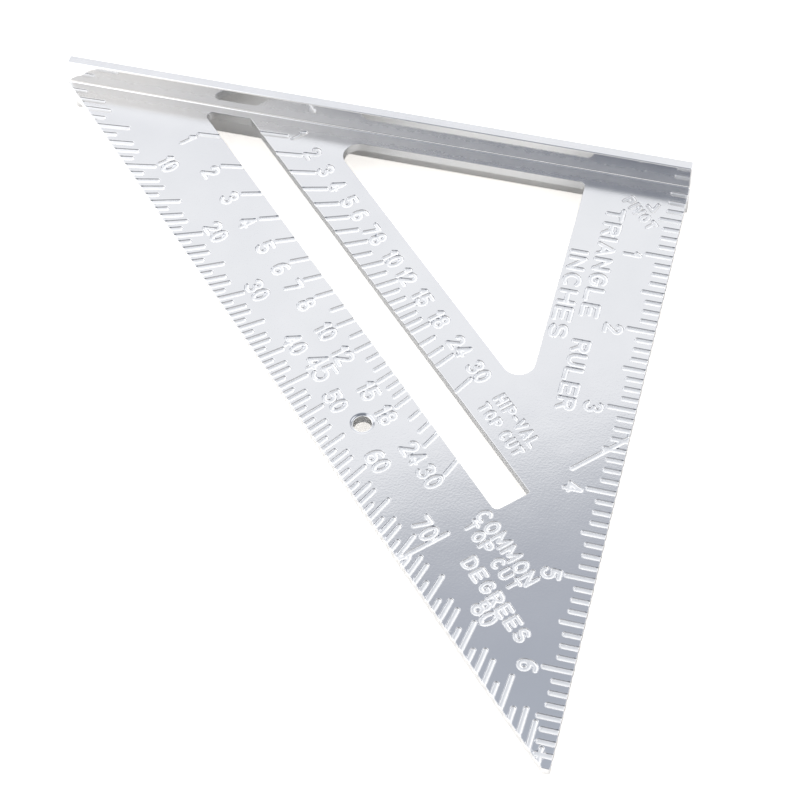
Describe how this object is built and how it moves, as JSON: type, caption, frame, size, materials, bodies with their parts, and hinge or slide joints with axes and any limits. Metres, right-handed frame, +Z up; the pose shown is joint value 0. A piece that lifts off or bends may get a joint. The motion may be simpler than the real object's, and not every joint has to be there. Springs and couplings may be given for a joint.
{
  "type": "speed square",
  "caption": "Triangular rafter square with a T-bar fence, a ruler edge, degree and rafter scales, a slanted slot and a window.",
  "frame": {"origin": "the pivot corner: where the fence's bearing face, the ruler edge and the blade's underside meet", "axes": "+X points off the ruler edge, along the fence; +Y points off the fence's outer face; +Z up through the marked face"},
  "size_m": [0.1793, 0.1808, 0.0182],
  "materials": {
    "blade_alloy": "bright, glossy, faint hammered texture",
    "fence_alloy": "bright, glossy"
  },
  "bodies": {
    "root": {"blade": "blade_alloy", "fence": "fence_alloy"}
  },
  "joints": []
}
